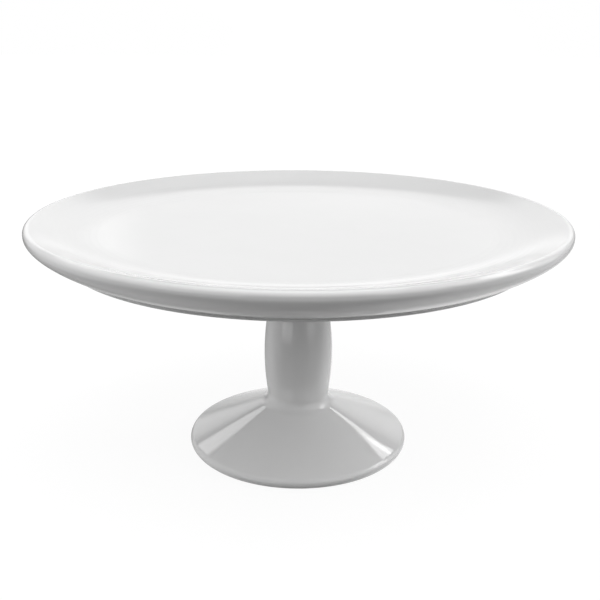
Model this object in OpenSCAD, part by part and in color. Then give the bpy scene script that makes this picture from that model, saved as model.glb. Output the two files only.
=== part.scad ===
// Footed cake stand in two glazed ceramic pieces: a round plate and a hollow pedestal.
// One screw through the top of the pedestal holds the plate down on a soft gasket.
// Millimetres, +Z up. The origin is the centre of the circle that the foot rests on.

/* [Plate] */
// Outer radius of the plate
plate_r = 150; // [142:1:165]
// Height of the flat cake surface above the table
top_z = 131.1; // [130:0.1:132]
// Radius at which the flat floor would meet the sloping border
floor_r = 119.5; // [116:0.5:122]
// Rise of the border in degrees
border_slope = 16.4; // [12:0.1:20]
// Radius of the easy curve between floor and border
border_blend = 80; // [50:1:90]
// Radius of the rounded lip
lip_round = 2.8; // [2:0.1:3.2]
// Height that the curve under the border heads for at the rim
under_z = 129.3; // [127:0.1:131]

/* [Plate underside] */
// Height of the foot ring's lower face above the table
ring_z = 119.3; // [118.8:0.1:119.5]
// Outer radius of the foot ring
ring_r = 130.4; // [128:0.2:132]
// Width of the foot ring
ring_w = 6.2; // [5:0.1:8]
// Height of the foot ring's upright outer face
ring_face = 2.2; // [1.5:0.1:2.8]
// Height of the ceiling inside the foot ring above the table
ceiling_z = 125; // [124.6:0.1:125.4]
// Outer radius of the collar that centres the plate on the pedestal
collar_r = 43.5; // [42:0.5:48]
// Radius of the boss that holds the threaded insert
boss_r = 11; // [9:0.5:12]

/* [Pedestal] */
// Radius of the stem at its fullest
stem_r = 20.1; // [19:0.1:22]
// Height of the fullest part of the stem
stem_z = 55; // [53:0.5:57]
// Radius of the stem where its curve ends above and below
neck_r = 18.26; // [17:0.02:18.6]
// Distance of each neck above or below the fullest part
neck_reach = 23.8; // [22:0.1:25]
// Radius of the hollow curve between a neck and its cone
neck_round = 7.5; // [6:0.1:9]
// Outer radius of the foot
foot_r = 65.1; // [60:0.1:72]
// Radius of the foot's rolled edge
foot_round = 3.3; // [2.8:0.1:3.6]
// Height of the centre of the foot's rolled edge
foot_round_z = 2.6; // [2.2:0.1:2.8]
// Inner radius of the ground ring that the foot rests on
foot_inner_r = 58.5; // [57:0.1:59.5]
// Thickness of the pedestal's wall
wall = 5; // [4:0.1:5.5]

/* [Pedestal head] */
// Outer radius of the head
head_r = 38; // [36:0.5:40]
// Radius of the head's lower edge
head_round = 7; // [6:0.1:8]
// Height of the centre of the head's lower edge
head_round_z = 111; // [110:0.1:112]
// Height of the seat for the gasket
seat_z = 121.5; // [121.3:0.1:121.8]
// Height of the underside of the web that carries the screw
web_z = 113; // [112.5:0.1:113.5]
// Depth of the recess for the plate's boss
recess_depth = 2.9; // [2.5:0.1:3.2]
// Radius of the hole for the screw
screw_hole_r = 3.5; // [3.3:0.1:4]

/* [Gasket and insert] */
// Thickness of the gasket
gasket_t = 1.5; // [1.2:0.1:1.6]
// Inner radius of the gasket
gasket_in = 22; // [16:0.5:26]
// Outer radius of the gasket
gasket_out = 33; // [30:0.5:35]
// Outer radius of the threaded insert
insert_r = 5; // [4.6:0.1:5.2]
// Length of the threaded insert
insert_l = 7; // [6.6:0.1:7]
// Radial thickness of the cement round the insert
cement_t = 1; // [0.8:0.1:1.2]

/* [Screw and washers] */
// Radius of the screw's shank, a smooth stand-in for an M6 thread
screw_r = 2.9; // [2.85:0.01:2.95]
// Length of the screw under its head
screw_l = 16; // [15:1:16]
// Radius of the screw's button head
screw_head_r = 5.25; // [5:0.05:6]
// Height of the screw's head
screw_head_h = 3.3; // [3:0.1:4]
// Width across the flats of the screw's drive
drive_af = 4; // [3:0.5:4]
// Depth of the screw's drive
drive_depth = 2; // [1.5:0.1:2.2]
// Outer radius of both washers
washer_r = 9; // [8:0.5:10]
// Hole radius of both washers
washer_hole_r = 3.3; // [3.2:0.1:3.5]
// Thickness of the rubber washer
rubber_t = 1.5; // [1:0.1:2]
// Thickness of the steel washer
steel_t = 1.6; // [1:0.1:2]

/* [Hidden] */

$fn = 96;
arc_tol = 0.02;             // largest gap between a curve and its chords
thread_gap = 0.1;           // running clearance between screw and insert
collar_gap = 0.6;           // clearance between the collar and the pedestal's head
edge = 0.8;                 // small rounding on glazed corners

lip_z = top_z + (plate_r - floor_r) * tan(border_slope);
side_z = lip_z - 4.5;
bed_z = seat_z + gasket_t;
collar_in = head_r + collar_gap;
collar_z = ring_z + 0.3;
socket_r = insert_r + cement_t;
insert_z = collar_z + 0.4;
socket_top = insert_z + insert_l + 0.3;
screw_z = web_z - rubber_t - steel_t;

// The stem is one arc whose ends meet both necks.
stem_sag = stem_r - neck_r;
stem_arc = (neck_reach * neck_reach + stem_sag * stem_sag) / (2 * stem_sag);
stem_c = [stem_r - stem_arc, stem_z];
stem_half = asin(neck_reach / stem_arc);

// Centres of the hollow curves beside each neck, and of the rolled edges beyond them.
low_c = stem_c + (stem_arc + neck_round) * [cos(stem_half), -sin(stem_half)];
high_c = stem_c + (stem_arc + neck_round) * [cos(stem_half), sin(stem_half)];
foot_c = [foot_r - foot_round, foot_round_z];
head_c = [head_r - head_round, head_round_z];

// Each cone is the straight line that touches a hollow curve and a rolled edge.
foot_tilt = heading(foot_c - low_c) + asin((neck_round + foot_round) / norm(foot_c - low_c));
head_tilt = heading(head_c - high_c) - asin((neck_round + head_round) / norm(head_c - high_c));

function heading(v) = atan2(v[1], v[0]);

// Points along an arc from angle a0 to angle a1.
function arc(c, r, a0, a1) =
    let (n = max(2, ceil(abs(a1 - a0) / (2 * acos(1 - min(arc_tol / r, 0.5))))))
    [for (i = [0:n]) c + r * [cos(a0 + (a1 - a0) * i / n), sin(a0 + (a1 - a0) * i / n)]];

// A smooth bend from a to b that heads for c at both ends.
function bend(a, c, b, n = 14) =
    [for (i = [0:n]) let (t = i / n) (1 - t) * (1 - t) * a + 2 * t * (1 - t) * c + t * t * b];

// One corner p between points a and b, rounded to radius r.
function corner(a, p, b, r) =
    let (u = (a - p) / norm(a - p),
         v = (b - p) / norm(b - p),
         half = acos(u * v) / 2,
         c = p + (u + v) / norm(u + v) * r / sin(half),
         start = heading(p + u * r / tan(half) - c),
         turn = (u[0] * v[1] - u[1] * v[0] > 0 ? -1 : 1) * (180 - 2 * half))
    arc(c, r, start, start + turn);

// An open outline through corners [r, z, rounding]; its two ends stay as they are.
function outline(p) =
    [for (i = [0:len(p) - 1])
        let (here = [p[i][0], p[i][1]])
        each (i == 0 || i == len(p) - 1 || p[i][2] == 0) ? [here]
            : corner([p[i - 1][0], p[i - 1][1]], here, [p[i + 1][0], p[i + 1][1]], p[i][2])];

module plate() {
    ring_in = ring_r - ring_w;
    border_top = outline([
        [0, top_z, 0],
        [floor_r, top_z, border_blend],
        [plate_r, lip_z, lip_round],
        [plate_r, side_z, 0]]);
    under_border = bend([plate_r, side_z], [plate_r, under_z], [ring_r, ring_z + ring_face]);
    underside = outline([
        [ring_r, ring_z + ring_face, 0],
        [ring_r, ring_z, edge],
        [ring_in, ring_z, edge],
        [ring_in, ceiling_z, 1.5],
        [collar_r, ceiling_z, 1.5],
        [collar_r, collar_z, edge],
        [collar_in, collar_z, edge],
        [collar_in, bed_z, 0],
        [boss_r, bed_z, 0],
        [boss_r, collar_z, edge],
        [socket_r, collar_z, 0],
        [socket_r, socket_top, 0],
        [0, socket_top, 0]]);
    color("white")
        rotate_extrude()
            polygon(concat(border_top, under_border, underside));
}

// The pedestal's outside, or its inside when inset by the wall, from the foot's cone up to the head.
function pedestal_side(inset) = concat(
    arc(low_c, neck_round + inset, foot_tilt - 90, -180 - stem_half),
    arc(stem_c, stem_arc - inset, -stem_half, stem_half),
    arc(high_c, neck_round + inset, 180 + stem_half, 90 + head_tilt),
    arc(head_c, head_round - inset, head_tilt - 90, 0));

module pedestal_body() {
    rolled_foot = arc(foot_c, foot_round, -asin(foot_c[1] / foot_round), 90 + foot_tilt);
    head_top = outline([
        [head_r, head_round_z + 1, 0],
        [head_r, seat_z, edge],
        [boss_r + 2, seat_z, 0],
        [boss_r + 2, seat_z - recess_depth, 0],
        [0, seat_z - recess_depth, 0]]);
    rotate_extrude()
        polygon(concat([[0, 0]], rolled_foot, pedestal_side(0), head_top));
}

module pedestal_hollow() {
    side = pedestal_side(wall);
    cone_end_z = side[0][1] + (foot_inner_r - side[0][0]) * tan(foot_tilt);
    rotate_extrude()
        polygon(concat(
            [[0, -1], [foot_inner_r, -1], [foot_inner_r, cone_end_z]],
            side,
            [[head_r - wall, web_z], [0, web_z]]));
}

module pedestal() {
    color("whitesmoke")
        difference() {
            pedestal_body();
            pedestal_hollow();
            translate([0, 0, web_z - 1])
                cylinder(h = seat_z - web_z + 2, r = screw_hole_r);
        }
}

module seat_gasket() {
    color("lightgray")
        translate([0, 0, seat_z])
            difference() {
                cylinder(h = gasket_t, r = gasket_out);
                translate([0, 0, -1])
                    cylinder(h = gasket_t + 2, r = gasket_in);
            }
}

module insert_shape() {
    groove = 0.4;
    step = insert_l / 5;
    rotate_extrude()
        polygon([
            [0, 0],
            [insert_r, 0],
            [insert_r, step],
            [insert_r - groove, step],
            [insert_r - groove, 2 * step],
            [insert_r, 2 * step],
            [insert_r, 3 * step],
            [insert_r - groove, 3 * step],
            [insert_r - groove, 4 * step],
            [insert_r, 4 * step],
            [insert_r, insert_l],
            [0, insert_l]]);
}

module threaded_insert() {
    color("goldenrod")
        translate([0, 0, insert_z])
            difference() {
                insert_shape();
                translate([0, 0, -1])
                    cylinder(h = insert_l + 2, r = screw_r + thread_gap);
            }
}

module insert_cement() {
    color("gainsboro")
        difference() {
            translate([0, 0, insert_z])
                cylinder(h = socket_top - insert_z, r = socket_r);
            translate([0, 0, insert_z])
                insert_shape();
        }
}

module clamp_screw() {
    point = 0.6;
    dome = 2.6;
    color("silver")
        translate([0, 0, screw_z])
            difference() {
                rotate_extrude()
                    polygon(concat(
                        [[0, screw_l], [screw_r - point, screw_l]],
                        [[screw_r, screw_l - point], [screw_r, 0]],
                        outline([
                            [screw_head_r, 0, 0],
                            [screw_head_r, -screw_head_h, dome],
                            [0, -screw_head_h, 0]])));
                translate([0, 0, -screw_head_h - 1])
                    cylinder(h = drive_depth + 1, r = drive_af / sqrt(3), $fn = 6);
            }
}

module washer(t) {
    difference() {
        cylinder(h = t, r = washer_r);
        translate([0, 0, -1])
            cylinder(h = t + 2, r = washer_hole_r);
    }
}

module steel_washer() {
    color("silver")
        translate([0, 0, screw_z])
            washer(steel_t);
}

module rubber_washer() {
    color("dimgray")
        translate([0, 0, screw_z + steel_t])
            washer(rubber_t);
}

plate();
pedestal();
seat_gasket();
threaded_insert();
insert_cement();
clamp_screw();
steel_washer();
rubber_washer();
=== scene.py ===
"""The look of a footed cake stand: a glazed ceramic plate screwed to a hollow glazed pedestal.

Profiles are in millimetres, as in the CAD source, and become metres when a mesh is made.
Each piece is a loft of rings round the stand's axis, so threads, a hexagonal socket and
slightly uneven ceramic all come from one function. In names, _R is a radius from the axis
and _Z a height above the table.
"""
import math

import bpy
from mathutils import Matrix, Vector, noise


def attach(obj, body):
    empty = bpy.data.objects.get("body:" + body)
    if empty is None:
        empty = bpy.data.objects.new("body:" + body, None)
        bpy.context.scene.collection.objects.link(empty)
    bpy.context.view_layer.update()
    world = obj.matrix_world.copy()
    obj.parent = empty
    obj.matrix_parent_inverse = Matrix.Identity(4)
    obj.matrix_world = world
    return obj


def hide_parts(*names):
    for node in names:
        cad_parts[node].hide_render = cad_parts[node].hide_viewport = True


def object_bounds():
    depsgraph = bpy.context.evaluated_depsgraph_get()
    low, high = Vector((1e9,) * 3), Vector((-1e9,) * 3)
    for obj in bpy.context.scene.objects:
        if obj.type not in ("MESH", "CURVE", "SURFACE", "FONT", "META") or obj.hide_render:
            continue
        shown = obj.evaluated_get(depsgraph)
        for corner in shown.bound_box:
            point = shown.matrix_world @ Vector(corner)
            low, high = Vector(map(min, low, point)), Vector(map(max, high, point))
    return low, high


MM = 0.001
TAU = 2 * math.pi

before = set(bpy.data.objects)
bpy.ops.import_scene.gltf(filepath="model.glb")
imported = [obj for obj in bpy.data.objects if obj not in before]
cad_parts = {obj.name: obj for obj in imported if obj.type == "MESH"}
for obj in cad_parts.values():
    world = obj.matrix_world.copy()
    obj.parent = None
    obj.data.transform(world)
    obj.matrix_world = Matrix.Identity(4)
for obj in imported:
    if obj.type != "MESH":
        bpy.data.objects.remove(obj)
cad_low, cad_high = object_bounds()

# ---------------------------------------------------------------- profiles

# plate: the flat top, the border's bend and lip, the foot ring, the collar and boss under the middle
PLATE_R, TOP_Z, FLOOR_R = 150.0, 131.1, 122.5
BORDER_BLEND, LIP_Z, LIP_ROUND, SIDE_Z, UNDER_Z = 90.0, 140.18, 2.8, 135.6, 130.0
RING_Z, RING_R, RING_W, RING_FACE, CEILING_Z = 119.3, 130.4, 6.2, 1.3, 125.0
COLLAR_R, COLLAR_IN, COLLAR_Z, BOSS_R, BED_Z = 43.5, 38.6, 119.6, 11.0, 123.0
SOCKET_R, SOCKET_TOP = 6.0, 127.3

# pedestal: the barrel stem between its necks, the foot, the head and the recess that takes the screw
STEM_R, STEM_Z, NECK_R, NECK_REACH, NECK_ROUND = 20.1, 55.0, 18.26, 23.8, 7.5
FOOT_R, FOOT_ROUND, FOOT_ROUND_Z, FOOT_INNER_R, WALL = 65.1, 3.3, 2.6, 58.5, 5.0
HEAD_R, HEAD_ROUND, HEAD_ROUND_Z, SEAT_Z, WEB_Z = 38.0, 7.0, 111.0, 121.5, 113.0
RECESS_DEPTH, RECESS_R, SCREW_HOLE_R = 2.9, 13.0, 3.5

# clamp: the insert, the screw with its drive, the washers and the gasket
INSERT_R, INSERT_Z, INSERT_L, BORE_R = 5.0, 120.0, 7.0, 3.0
SCREW_R, SCREW_Z, SCREW_L, SCREW_HEAD_R, SCREW_HEAD_H = 2.9, 109.9, 16.0, 5.25, 3.3
DRIVE_AF, DRIVE_DEPTH, PITCH = 4.0, 2.0, 1.0
WASHER_R, WASHER_HOLE_R, STEEL_T, RUBBER_T = 9.0, 3.3, 1.6, 1.5
GASKET_IN, GASKET_OUT, GASKET_GROOVES = 22.0, 33.0, 3

# sides of each ring of points, and the breadth of the waves in fired ceramic
PLATE_SIDES, PEDESTAL_SIDES, GASKET_SIDES, WASHER_SIDES, SMALL_SIDES = 320, 256, 160, 96, 60
FIRED_WAVE = 60.0


def polar(c, r, a):
    """The point at radius r and angle a round c."""
    return (c[0] + r * math.cos(a), c[1] + r * math.sin(a))


def arc(c, r, a0, a1, step=0.06):
    """Points along an arc, at most `step` radians and 4 mm apart."""
    n = max(3, math.ceil(abs(a1 - a0) / min(step, 4.0 / r)))
    return [polar(c, r, a0 + (a1 - a0) * i / n) for i in range(n + 1)]


def bend(a, c, b, n=28):
    """A smooth bend from a to b that heads for c at both ends."""
    return [tuple((1 - t) ** 2 * a[k] + 2 * t * (1 - t) * c[k] + t * t * b[k] for k in (0, 1))
            for t in (i / n for i in range(n + 1))]


def corner(a, p, b, r):
    """The corner p between a and b, rounded to radius r."""
    u = (Vector(a) - Vector(p)).normalized()
    v = (Vector(b) - Vector(p)).normalized()
    half = math.acos(max(-1.0, min(1.0, u.dot(v)))) / 2
    c = Vector(p) + (u + v).normalized() * r / math.sin(half)
    start = Vector(p) + u * r / math.tan(half) - c
    turn = (-1 if u.x * v.y - u.y * v.x > 0 else 1) * (math.pi - 2 * half)
    a0 = math.atan2(start.y, start.x)
    return arc(c, r, a0, a0 + turn, 0.16)


def outline(points):
    """An open outline through corners (r, z, rounding); its two ends stay as they are."""
    out = []
    for i, (r, z, rounding) in enumerate(points):
        if rounding == 0 or i in (0, len(points) - 1):
            out.append((r, z))
        else:
            out += corner(points[i - 1][:2], (r, z), points[i + 1][:2], rounding)
    return out


def supported(points, longest=5.0, guard=0.5):
    """Adds points along the long straight runs, so that smooth shading stays true to the profile."""
    out = [points[0]]
    for a, b in zip(points, points[1:]):
        length = math.dist(a, b)
        if length < 1e-4:
            continue
        if length > 3 * guard:
            n = max(1, math.ceil((length - 2 * guard) / longest))
            stops = [guard] + [guard + (length - 2 * guard) * i / n for i in range(1, n + 1)]
            out += [tuple(a[k] + (b[k] - a[k]) * s / length for k in (0, 1)) for s in stops]
        out.append(b)
    return out


def heading(a, b):
    """The direction from a to b, in radians above the horizontal."""
    return math.atan2(b[1] - a[1], b[0] - a[0])


def pedestal_curves():
    """Centres and tilts of the pedestal's arcs: hollow curves at the necks, rolled foot and head."""
    sag = STEM_R - NECK_R
    stem_arc = (NECK_REACH ** 2 + sag ** 2) / (2 * sag)
    stem_c = (STEM_R - stem_arc, STEM_Z)
    half = math.asin(NECK_REACH / stem_arc)
    low_c = polar(stem_c, stem_arc + NECK_ROUND, -half)
    high_c = polar(stem_c, stem_arc + NECK_ROUND, half)
    foot_c = (FOOT_R - FOOT_ROUND, FOOT_ROUND_Z)
    head_c = (HEAD_R - HEAD_ROUND, HEAD_ROUND_Z)
    foot_tilt = heading(low_c, foot_c) + math.asin((NECK_ROUND + FOOT_ROUND) / math.dist(low_c, foot_c))
    head_tilt = heading(high_c, head_c) - math.asin((NECK_ROUND + HEAD_ROUND) / math.dist(high_c, head_c))
    return stem_arc, stem_c, half, low_c, high_c, foot_c, head_c, foot_tilt, head_tilt


def pedestal_side(inset):
    """The pedestal's outside, or its inside when inset by the wall, from the foot's cone to the head."""
    stem_arc, stem_c, half, low_c, high_c, _, head_c, foot_tilt, head_tilt = pedestal_curves()
    quarter = math.pi / 2
    return (arc(low_c, NECK_ROUND + inset, foot_tilt - quarter, -math.pi - half)
            + arc(stem_c, stem_arc - inset, -half, half)
            + arc(high_c, NECK_ROUND + inset, math.pi + half, quarter + head_tilt)
            + arc(head_c, HEAD_ROUND - inset, head_tilt - quarter, 0))


def plate_profile():
    """The plate's outline, from the middle of its top round the lip to the top of its socket."""
    edge = 0.6
    top = outline([
        (0, TOP_Z, 0), (FLOOR_R, TOP_Z, BORDER_BLEND), (PLATE_R, LIP_Z, LIP_ROUND), (PLATE_R, SIDE_Z, 0)])
    under = bend((PLATE_R, SIDE_Z), (PLATE_R, UNDER_Z), (RING_R, RING_Z + RING_FACE))
    ring_in = RING_R - RING_W
    bottom = outline([
        (RING_R, RING_Z + RING_FACE, 0), (RING_R, RING_Z, edge), (ring_in, RING_Z, edge),
        (ring_in, CEILING_Z, 1.5), (COLLAR_R, CEILING_Z, 1.5), (COLLAR_R, COLLAR_Z, edge),
        (COLLAR_IN, COLLAR_Z, edge), (COLLAR_IN, BED_Z, 0.4), (BOSS_R, BED_Z, 0.4),
        (BOSS_R, COLLAR_Z, edge), (SOCKET_R, COLLAR_Z, 0.15), (SOCKET_R, SOCKET_TOP, 0.2),
        (0, SOCKET_TOP, 0)])
    return supported(top + under + bottom)


def pedestal_profile():
    """The pedestal's closed outline: rolled foot, side, head, then back down the inside."""
    *_, foot_c, _, foot_tilt, _ = pedestal_curves()
    flat_edge = math.asin(FOOT_ROUND_Z / FOOT_ROUND)
    rolled = arc(foot_c, FOOT_ROUND, -flat_edge, math.pi / 2 + foot_tilt)
    head = outline([
        (HEAD_R, HEAD_ROUND_Z, 0), (HEAD_R, SEAT_Z, 0.8), (RECESS_R, SEAT_Z, 0.3),
        (RECESS_R, SEAT_Z - RECESS_DEPTH, 0.3), (SCREW_HOLE_R, SEAT_Z - RECESS_DEPTH, 0.25),
        (SCREW_HOLE_R, WEB_Z, 0.25), (HEAD_R - WALL, WEB_Z, 0.8), (HEAD_R - WALL, HEAD_ROUND_Z, 0)])
    inside = pedestal_side(WALL)[::-1]
    start = inside[-1]
    cone_end = (FOOT_INNER_R, start[1] + (FOOT_INNER_R - start[0]) * math.tan(foot_tilt))
    closing = outline([
        (*start, 0), (*cone_end, 0.8), (FOOT_INNER_R, 0, 0.3), (rolled[0][0], 0, 0)])
    return supported(rolled + pedestal_side(0) + head + inside + closing)[:-1]


# ---------------------------------------------------------------- meshes


def loft(name, rings, closed=False, sharp=None):
    """A mesh through rings of points in millimetres; a ring of one point closes the end at the axis.
    Going from ring to ring, the outside is on the right-hand side when the axis is on the left."""
    verts, starts = [], []
    for ring in rings:
        starts.append(len(verts))
        verts += [tuple(x * MM for x in p) for p in ring]
    faces = []
    pairs = list(zip(range(len(rings)), range(1, len(rings)))) + ([(len(rings) - 1, 0)] if closed else [])
    for i, j in pairs:
        n = max(len(rings[i]), len(rings[j]))
        for k in range(n):
            m = (k + 1) % n
            a = [starts[i] + k, starts[i] + m] if len(rings[i]) > 1 else [starts[i]]
            b = [starts[j] + m, starts[j] + k] if len(rings[j]) > 1 else [starts[j]]
            faces.append(a + b)
    mesh = bpy.data.meshes.new(name)
    mesh.from_pydata(verts, [], faces)
    mesh.validate()
    mesh.update()
    mesh.shade_smooth()
    if sharp:
        mesh.set_sharp_from_angle(angle=math.radians(sharp))
    piece = bpy.data.objects.new(name, mesh)
    bpy.context.scene.collection.objects.link(piece)
    return piece


def circle(r, z, n, radius_at=None):
    """A ring of n points at height z, of radius r or radius_at(angle); r of 0 gives one point."""
    if r < 1e-6:
        return [(0.0, 0.0, z)]
    out = []
    for k in range(n):
        a = TAU * k / n
        rr = radius_at(a) if radius_at else r
        out.append((rr * math.cos(a), rr * math.sin(a), z))
    return out


def uneven(p, seed, size, reach):
    """A smooth, repeatable number from -1 to 1 that changes over `size` millimetres, times reach."""
    return reach * noise.noise(Vector((p[0] / size + seed, p[1] / size, p[2] / size)))


def fired(rings, seed, reach):
    """Ceramic is never perfectly true: pulls points in, by up to `reach` mm at the plate's rim and less
    nearer the axis."""
    out = []
    for ring in rings:
        if len(ring) == 1:
            out.append(ring)
            continue
        moved = []
        for x, y, z in ring:
            k = 1 - (reach / 2 + uneven((x, y, z), seed, FIRED_WAVE, reach / 2)) / PLATE_R
            moved.append((x * k, y * k, z))
        out.append(moved)
    return out


def paint(piece, rule):
    """Gives each face the material index that rule(r, z) returns for its centre, in millimetres."""
    for poly in piece.data.polygons:
        c = poly.center / MM
        poly.material_index = rule(math.hypot(c.x, c.y), c.z)


def make_plate():
    """The plate, bare on the ends of its foot ring, collar and boss and in its socket, glazed elsewhere."""
    rings = [circle(r, z, PLATE_SIDES) for r, z in plate_profile()]
    piece = loft("glazed_plate", fired(rings[::-1], seed=3.1, reach=0.12))

    def rule(r, z):
        on_ring = z < RING_Z + 0.12 and RING_R - RING_W < r < RING_R
        on_collar = z < COLLAR_Z + 0.1 and r < COLLAR_R
        in_socket = r < BOSS_R - 0.7 and z < SOCKET_TOP + 0.1
        return 1 if on_ring or on_collar or in_socket else 0

    paint(piece, rule)
    return piece


def make_pedestal():
    """The pedestal: glazed outside, thinly glazed inside, bare on the ground ring and the seat."""
    rings = [circle(r, z, PEDESTAL_SIDES) for r, z in pedestal_profile()]
    piece = loft("glazed_pedestal", fired(rings, seed=7.7, reach=0.08), closed=True)
    side = pedestal_side(0)

    def rule(r, z):
        if z < 0.12 or z > SEAT_Z - 0.1:
            return 1
        above = next((i for i, point in enumerate(side) if point[1] > z), 0)
        return 2 if z < WEB_Z + 0.1 and r < side[above][0] - WALL / 2 else 0

    paint(piece, rule)
    return piece


def thread_cut(z, angle, depth, bottom, top):
    """How deep a V thread is cut at height z and at an angle, running out smoothly at both ends."""
    flank, runout = 2.6, 0.8
    turn = (z / PITCH - angle / TAU) % 1.0
    groove = max(0.0, 1.0 - abs(turn - 0.5) * flank)
    ends = max(0.0, min(1.0, (z - bottom) / runout, (top - z) / runout))
    return depth * groove * ends


def hexagon(scale):
    """The radius of the screw's hexagonal drive at each angle."""
    return lambda angle: scale * DRIVE_AF / 2 / math.cos(angle % (TAU / 6) - TAU / 12)


def make_screw():
    """A button-head screw, from the tip down to the bottom of its drive."""
    n, per_turn, chamfer, thread = SMALL_SIDES, 14, 0.5, 0.5
    tip, shoulder, face = SCREW_Z + SCREW_L, SCREW_Z + 0.6, SCREW_Z - SCREW_HEAD_H
    rings = [circle(0, tip, n), circle(SCREW_R - chamfer, tip, n)]
    steps = round((tip - shoulder) / PITCH * per_turn)
    for i in range(1, steps + 1):
        z = tip - (tip - shoulder) * i / steps
        rings.append(circle(SCREW_R, z, n, lambda angle: SCREW_R - max(
            chamfer - (tip - z), thread_cut(z, angle, thread, shoulder, tip + 0.4))))
    underside = [
        (SCREW_R, SCREW_Z + 0.25), (SCREW_R + 0.1, SCREW_Z + 0.04), (SCREW_R + 0.3, SCREW_Z),
        (SCREW_HEAD_R - 0.2, SCREW_Z), (SCREW_HEAD_R - 0.04, SCREW_Z - 0.06),
        (SCREW_HEAD_R, SCREW_Z - 0.2)]
    crown = bend((SCREW_HEAD_R, SCREW_Z - 0.45), (SCREW_HEAD_R - 0.2, face), (2.75, face), 10)
    rings += [circle(r, z, n) for r, z in underside + crown]
    rings += [circle(1, face + depth, n, hexagon(scale)) for scale, depth in (
        (1.07, 0), (1.04, 0.02), (1.0, 0.12), (0.99, DRIVE_DEPTH - 0.1), (0.97, DRIVE_DEPTH))]
    rings += [circle(1.2, face + DRIVE_DEPTH + 0.1, n), circle(0, face + DRIVE_DEPTH + 0.5, n)]
    return loft("button_head_screw", rings[::-1], sharp=35)


def make_insert():
    """A threaded bush, with grooves round its outside that the cement grips."""
    n, per_turn, thread, groove_count = SMALL_SIDES, 14, 0.45, 2
    low, high = INSERT_Z, INSERT_Z + INSERT_L
    skin = INSERT_R - 0.05
    steps = round(INSERT_L / PITCH * per_turn)
    rings = [circle(BORE_R + 0.35, low, n)]
    for i in range(steps + 1):
        z = low + 0.15 + (INSERT_L - 0.3) * i / steps
        rings.append(circle(BORE_R, z, n, lambda angle: BORE_R + thread_cut(z, angle, thread, low, high)))
    rings += [circle(r, z, n) for r, z in (
        (BORE_R + 0.3, high), (INSERT_R - 0.3, high), (skin, high - 0.2))]
    band = INSERT_L / (2 * groove_count + 1)
    for k in range(2 * groove_count - 1, 0, -2):
        top, bottom = low + (k + 1) * band, low + k * band
        rings += [circle(r, z, n) for r, z in (
            (skin, top), (skin - 0.35, top - 0.1), (skin - 0.35, bottom + 0.1), (skin, bottom))]
    rings += [circle(skin, low + 0.2, n), circle(INSERT_R - 0.25, low, n)]
    return loft("brass_insert", rings[::-1], closed=True, sharp=35)


def ring_piece(name, r_in, r_out, z0, z1, rounding, sides, grooves=()):
    """A flat ring with rounded edges, and shallow round grooves (radius, reach, depth) in both faces."""
    mid = (r_in + r_out) / 2
    top = [(mid, z1, 0), (r_out, z1, rounding), (r_out, z0, rounding), (mid, z0, 0)]
    back = [(mid, z0, 0), (r_in, z0, rounding), (r_in, z1, rounding), (mid, z1, 0)]
    points = supported(outline(top) + outline(back)[1:-1], 0.35 if grooves else 2.0, 0.15)

    def cut(r, z):
        for g, width, depth in grooves:
            if abs(r - g) < width:
                dip = depth * (0.5 + 0.5 * math.cos(math.pi * (r - g) / width))
                z += dip if z < (z0 + z1) / 2 else -dip
        return (r, z)

    rings = [circle(*cut(r, z), sides) for r, z in points]
    return loft(name, rings[::-1], closed=True)


def make_cement():
    """The bed round the insert: its lower face is trowelled a little below flush and uneven."""
    rings, cavity_r, rough = [], 2.5, 0.06
    for r, z in ((INSERT_R, INSERT_Z + 0.5), (INSERT_R, INSERT_Z + 0.08), (INSERT_R + 0.25, INSERT_Z + 0.04),
                 (INSERT_R + 0.5, INSERT_Z + 0.02), (INSERT_R + 0.75, INSERT_Z + 0.04),
                 (SOCKET_R, INSERT_Z + 0.08), (SOCKET_R, SOCKET_TOP - 0.1), (SOCKET_R - 0.1, SOCKET_TOP),
                 (cavity_r, SOCKET_TOP), (cavity_r, SOCKET_TOP - 0.25), (INSERT_R, SOCKET_TOP - 0.28),
                 (INSERT_R, INSERT_Z + 3.0)):
        ring = circle(r, z, SMALL_SIDES)
        if z < INSERT_Z + 0.06:
            ring = [(*p[:2], z + rough + uneven(p, seed=1.3, size=0.8, reach=rough)) for p in ring]
        rings.append(ring)
    return loft("insert_bed", rings, closed=True)


# ---------------------------------------------------------------- materials


def new_material(name):
    """A material with its node tree and its shader."""
    mat = bpy.data.materials.new(name)
    mat.use_nodes = True
    return mat, mat.node_tree, mat.node_tree.nodes["Principled BSDF"]


def node(tree, kind, **settings):
    """A new node with the named inputs or properties set."""
    made = tree.nodes.new(kind)
    for key, value in settings.items():
        if key in made.inputs:
            made.inputs[key].default_value = value
        else:
            setattr(made, key, value)
    return made


def noise_at(tree, scale, detail=3.0, rough=0.5, stretch=(1, 1, 1)):
    """A noise pattern whose features are about 1/scale metres across."""
    where = node(tree, "ShaderNodeTexCoord")
    mapped = node(tree, "ShaderNodeMapping")
    mapped.inputs["Scale"].default_value = stretch
    tree.links.new(where.outputs["Object"], mapped.inputs["Vector"])
    made = node(tree, "ShaderNodeTexNoise", Scale=scale, Detail=detail, Roughness=rough)
    tree.links.new(mapped.outputs["Vector"], made.inputs["Vector"])
    return made.outputs["Fac"]


def ramp(tree, source, low, high, stops=(0.3, 0.7)):
    """Spreads a pattern between two greys or two colours."""
    made = node(tree, "ShaderNodeValToRGB")
    for element, value, place in zip(made.color_ramp.elements, (low, high), stops):
        element.color = (*value, 1) if hasattr(value, "__len__") else (value, value, value, 1)
        element.position = place
    tree.links.new(source, made.inputs["Fac"])
    return made.outputs["Color"]


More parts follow.
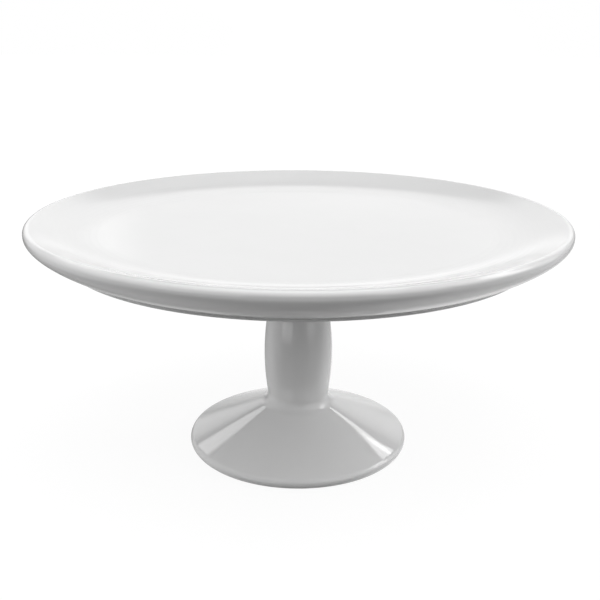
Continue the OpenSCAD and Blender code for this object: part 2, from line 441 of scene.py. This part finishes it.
def add_bump(tree, bsdf, pattern, distance, strength):
    """Makes the surface look raised by the pattern; `distance` is the pattern's height in metres."""
    made = node(tree, "ShaderNodeBump", Strength=strength, Distance=distance)
    tree.links.new(pattern, made.inputs["Height"])
    tree.links.new(made.outputs["Normal"], bsdf.inputs["Normal"])


def glaze_material(name, value, rough):
    """White glaze: its tone and gloss vary a little, and its surface has very slight waves."""
    mat, tree, bsdf = new_material(name)
    bsdf.inputs["IOR"].default_value = 1.62
    tone = ramp(tree, noise_at(tree, 28.0, 4.0), value * 0.985, value)
    tree.links.new(tone, bsdf.inputs["Base Color"])
    tree.links.new(ramp(tree, noise_at(tree, 45.0, 5.0), rough[0], rough[1]), bsdf.inputs["Roughness"])
    add_bump(tree, bsdf, noise_at(tree, 45.0, 1.0), 0.00002, 1.0)
    return mat


def bisque_material(name):
    """Bare fired clay: warm, matt and finely grained."""
    mat, tree, bsdf = new_material(name)
    tone = ramp(tree, noise_at(tree, 260.0, 6.0, 0.65), (0.62, 0.60, 0.57), (0.76, 0.745, 0.72))
    tree.links.new(tone, bsdf.inputs["Base Color"])
    tree.links.new(ramp(tree, noise_at(tree, 900.0, 4.0), 0.72, 0.92), bsdf.inputs["Roughness"])
    add_bump(tree, bsdf, noise_at(tree, 2200.0, 4.0, 0.7), 0.00008, 0.7)
    return mat


def metal_material(name, low, high, rough, stretch):
    """Metal with fine marks, drawn out along the axes where `stretch` is less than 1."""
    mat, tree, bsdf = new_material(name)
    bsdf.inputs["Metallic"].default_value = 1.0
    tone = ramp(tree, noise_at(tree, 900.0, 4.0, 0.6, stretch), low, high)
    tree.links.new(tone, bsdf.inputs["Base Color"])
    gloss = ramp(tree, noise_at(tree, 1530.0, 3.0, 0.6, stretch), *rough)
    tree.links.new(gloss, bsdf.inputs["Roughness"])
    add_bump(tree, bsdf, noise_at(tree, 2070.0, 2.0, 0.6, stretch), 0.00002, 0.5)
    return mat


def grained_material(name, low, high, rough, grain):
    """Silicone, rubber or cement: mottled, with a fine grain of `grain` metres in height."""
    mat, tree, bsdf = new_material(name)
    tree.links.new(ramp(tree, noise_at(tree, 300.0, 4.0), low, high), bsdf.inputs["Base Color"])
    tree.links.new(ramp(tree, noise_at(tree, 800.0, 3.0), *rough), bsdf.inputs["Roughness"])
    add_bump(tree, bsdf, noise_at(tree, 3500.0, 3.0), grain, 0.6)
    return mat


GLAZE = glaze_material("white_glaze", 0.80, (0.035, 0.075))
INNER_GLAZE = glaze_material("thin_inner_glaze", 0.76, (0.16, 0.30))
BISQUE = bisque_material("dry_ground_edge")
STAINLESS = metal_material(
    "stainless_steel", (0.50, 0.50, 0.49), (0.64, 0.64, 0.63), (0.22, 0.38), (1, 1, 0.1))
BRASS = metal_material("brass", (0.58, 0.40, 0.15), (0.76, 0.56, 0.25), (0.25, 0.42), (1, 1, 0.15))
SILICONE = grained_material("clear_silicone", (0.52, 0.53, 0.52), (0.62, 0.63, 0.61), (0.30, 0.45), 0.00003)
RUBBER = grained_material("black_rubber", (0.018, 0.018, 0.019), (0.035, 0.035, 0.036), (0.65, 0.85), 0.00005)
CEMENT = grained_material("cement", (0.42, 0.41, 0.38), (0.60, 0.585, 0.55), (0.8, 0.95), 0.0001)


def finish_piece(piece, body, cad_node, slot, *materials):
    """Gives a piece its materials and the body that it rides on, and hides the CAD node that it stands for;
    slot is not used.
    """
    for mat in materials:
        piece.data.materials.append(mat)
    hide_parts(cad_node)
    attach(piece, body)


finish_piece(make_plate(), "plate", "plate", "white_glaze", GLAZE, BISQUE)
finish_piece(make_pedestal(), "pedestal", "pedestal", "white_glaze", GLAZE, BISQUE, INNER_GLAZE)
groove_step = (GASKET_OUT - GASKET_IN) / (GASKET_GROOVES + 1)
grooves = [(GASKET_IN + groove_step * (k + 1), 0.6, 0.25) for k in range(GASKET_GROOVES)]
finish_piece(ring_piece("silicone_gasket", GASKET_IN, GASKET_OUT, SEAT_Z, BED_Z,
                        rounding=0.35, sides=GASKET_SIDES, grooves=grooves),
             "pedestal", "seat_gasket", "clear_silicone", SILICONE)
finish_piece(make_insert(), "plate", "threaded_insert", "brass", BRASS)
finish_piece(make_cement(), "plate", "insert_cement", "cement", CEMENT)
steel_top = SCREW_Z + STEEL_T
finish_piece(ring_piece("steel_washer_ring", WASHER_HOLE_R, WASHER_R, SCREW_Z, steel_top,
                        rounding=0.3, sides=WASHER_SIDES),
             "washers", "steel_washer", "stainless_steel", STAINLESS)
finish_piece(ring_piece("rubber_washer_ring", WASHER_HOLE_R, WASHER_R, steel_top, steel_top + RUBBER_T,
                        rounding=0.4, sides=WASHER_SIDES),
             "washers", "rubber_washer", "black_rubber", RUBBER)
finish_piece(make_screw(), "clamp_screw", "clamp_screw", "stainless_steel", STAINLESS)


# ---------------------------------------------------------------- studio
# The light is a plain white studio at infinity. Azimuth 0 is behind the stand and 90 is to its right,
# elevation 0 is the horizon, and a strength of 1 is display white.

PANELS = [  # name, azimuth, elevation, width, height, roll, soft edge in degrees, strength
    ("backdrop", 8, 17, 46, 26, 6, 7, 0.48),
    ("backdrop_wide", 6, 12, 112, 34, 0, 14, 0.46),
    ("left_box", -35, 34, 10, 11, 8, 3.0, 2.2),
    ("right_tail", 33.5, 36.3, 8, 3.2, 22, 0.7, 3.2),
    ("right_patch", 39, 38.2, 5, 9.4, 0, 0.7, 3.5),
    ("right_top", 66, 43, 22, 10, -12, 1.5, 2.6),
    ("right_box", 84, 26, 20, 26, 0, 4, 2.6),
    ("right_side", 88, 20, 56, 50, 0, 14, 1.0),
    ("right_high", 85, 56, 62, 30, 0, 8, 0.3),
    ("overhead", -135, 83, 64, 60, -45, 10, 0.75),
    ("zenith", 180, 88, 40, 40, 0, 16, 1.1),
    ("front_left", -142, -3, 38, 16, 0, 6, 1.35),
    ("front_right", 136, 13, 30, 44, 0, 6, 1.0),
]
GLOWS = [  # name, azimuth, elevation, reach in degrees, strength
    ("backdrop_left", -25, 15, 15, 0.85),
    ("backdrop_right", 28, 22, 20, 0.3),
    ("room_left", -90, 20, 60, 0.9),
    ("room_front", 180, 45, 50, 0.8),
    ("table_back", 5, -18, 32, 0.86),
    ("table_left", -60, -38, 45, 0.6),
    ("table_right", 60, -38, 45, 0.9),
    ("table_under", 0, -70, 50, 0.25),
]


def light_axes(azimuth, elevation, roll=0.0):
    """Unit vectors to a light's right, along its upright, and towards its middle."""
    a, e, t = (math.radians(angle) for angle in (azimuth, elevation, roll))
    towards = Vector((math.sin(a) * math.cos(e), math.cos(a) * math.cos(e), math.sin(e)))
    right = Vector((math.cos(a), -math.sin(a), 0.0))
    up = right.cross(towards)
    return right * math.cos(t) + up * math.sin(t), up * math.cos(t) - right * math.sin(t), towards


def math_node(tree, operation, a, b=None):
    """A Math node on sockets or plain numbers."""
    made = node(tree, "ShaderNodeMath", operation=operation)
    for socket, value in zip(made.inputs, (a, b)):
        if isinstance(value, bpy.types.NodeSocket):
            tree.links.new(value, socket)
        elif value is not None:
            socket.default_value = value
    return made.outputs["Value"]


def along(tree, direction, axis):
    """How far a direction goes along an axis."""
    made = node(tree, "ShaderNodeVectorMath", operation="DOT_PRODUCT")
    tree.links.new(direction, made.inputs[0])
    made.inputs[1].default_value = axis
    return made.outputs["Value"]


def fade(tree, value, none, full):
    """0 at `none` and 1 at `full`, with a smooth change between."""
    made = node(tree, "ShaderNodeMapRange", interpolation_type="SMOOTHSTEP")
    tree.links.new(value, made.inputs["Value"])
    made.inputs["From Min"].default_value = none
    made.inputs["From Max"].default_value = full
    return made.outputs["Result"]


def panel_mask(tree, direction, azimuth, elevation, width, height, roll, edge):
    """A flat rectangular light, as the stand's middle sees it."""
    right, up, towards = light_axes(azimuth, elevation, roll)
    facing = along(tree, direction, towards)
    mask = math_node(tree, "GREATER_THAN", facing, 0.0)
    for axis, size in ((right, width), (up, height)):
        off = math_node(tree, "ABSOLUTE", math_node(tree, "DIVIDE", along(tree, direction, axis), facing))
        none, full = (math.tan(math.radians(size / 2 + k * edge / 2)) for k in (1, -1))
        mask = math_node(tree, "MULTIPLY", mask, fade(tree, off, none, full))
    return mask


def glow_mask(tree, direction, azimuth, elevation, reach):
    """A soft pool of light with no edge."""
    towards = light_axes(azimuth, elevation)[2]
    return fade(tree, along(tree, direction, towards), math.cos(math.radians(reach)), 1.0)


def make_world():
    """Lights the stand with the panels and glows, while the camera sees plain white behind it."""
    world = bpy.data.worlds.new("studio")
    bpy.context.scene.world = world
    world.use_nodes = True
    tree = world.node_tree
    direction = node(tree, "ShaderNodeTexCoord").outputs["Generated"]
    masks = [(name, panel_mask(tree, direction, *shape), strength) for name, *shape, strength in PANELS]
    masks += [(name, glow_mask(tree, direction, *shape), strength) for name, *shape, strength in GLOWS]
    total = None
    for name, mask, strength in masks:
        light = math_node(tree, "MULTIPLY", mask, strength)
        light.node.name = name
        total = light if total is None else math_node(tree, "ADD", total, light)
    seen = node(tree, "ShaderNodeLightPath").outputs["Is Camera Ray"]
    back = tree.nodes["Background"]
    tree.links.new(math_node(tree, "MAXIMUM", total, seen), back.inputs["Strength"])
    back.inputs["Color"].default_value = (1, 1, 1, 1)


def make_floor():
    """A pale light table: it glows and takes only a faint shadow, and from underneath it is clear.
    The studio's own glow from below lights the stand, so the floor adds no light to it."""
    half, gap = 6.0, 0.0002
    corners = [(-half, -half, 0), (half, -half, 0), (half, half, 0), (-half, half, 0)]
    mesh = bpy.data.meshes.new("studio_floor")
    mesh.from_pydata(corners, [], [(0, 1, 2, 3)])
    floor = bpy.data.objects.new("studio_floor", mesh)
    bpy.context.scene.collection.objects.link(floor)
    mat, tree, bsdf = new_material("light_table")
    tree.links.new(ramp(tree, noise_at(tree, 3.0, 3.0), 0.12, 0.13), bsdf.inputs["Base Color"])
    bsdf.inputs["Specular IOR Level"].default_value = 0.0
    bsdf.inputs["Emission Color"].default_value = (1, 1, 1, 1)
    bsdf.inputs["Emission Strength"].default_value = 0.9
    clear = node(tree, "ShaderNodeMixShader")
    tree.links.new(node(tree, "ShaderNodeNewGeometry").outputs["Backfacing"], clear.inputs["Fac"])
    tree.links.new(bsdf.outputs["BSDF"], clear.inputs[1])
    tree.links.new(node(tree, "ShaderNodeBsdfTransparent").outputs["BSDF"], clear.inputs[2])
    tree.links.new(clear.outputs["Shader"], tree.nodes["Material Output"].inputs["Surface"])
    mesh.materials.append(mat)
    floor.location.z = cad_low.z - gap
    floor.visible_diffuse = floor.visible_glossy = False


def make_camera():
    """Stands in front of the stand at table-top distance and looks down a little, with a slight roll."""
    data = bpy.data.cameras.new("camera")
    data.sensor_width = 36.0
    data.lens = 51.9
    data.clip_start = 0.01
    cam = bpy.data.objects.new("camera", data)
    place, down, roll = (0.00084, -0.4806, 0.2421), math.radians(17.85), math.radians(0.33)
    look = Matrix.Rotation(math.pi / 2 - down, 4, "X") @ Matrix.Rotation(roll, 4, "Z")
    cam.matrix_world = Matrix.Translation(place) @ look
    bpy.context.scene.collection.objects.link(cam)
    bpy.context.scene.camera = cam


make_world()
make_floor()
make_camera()
bpy.context.scene.view_settings.view_transform = "Standard"
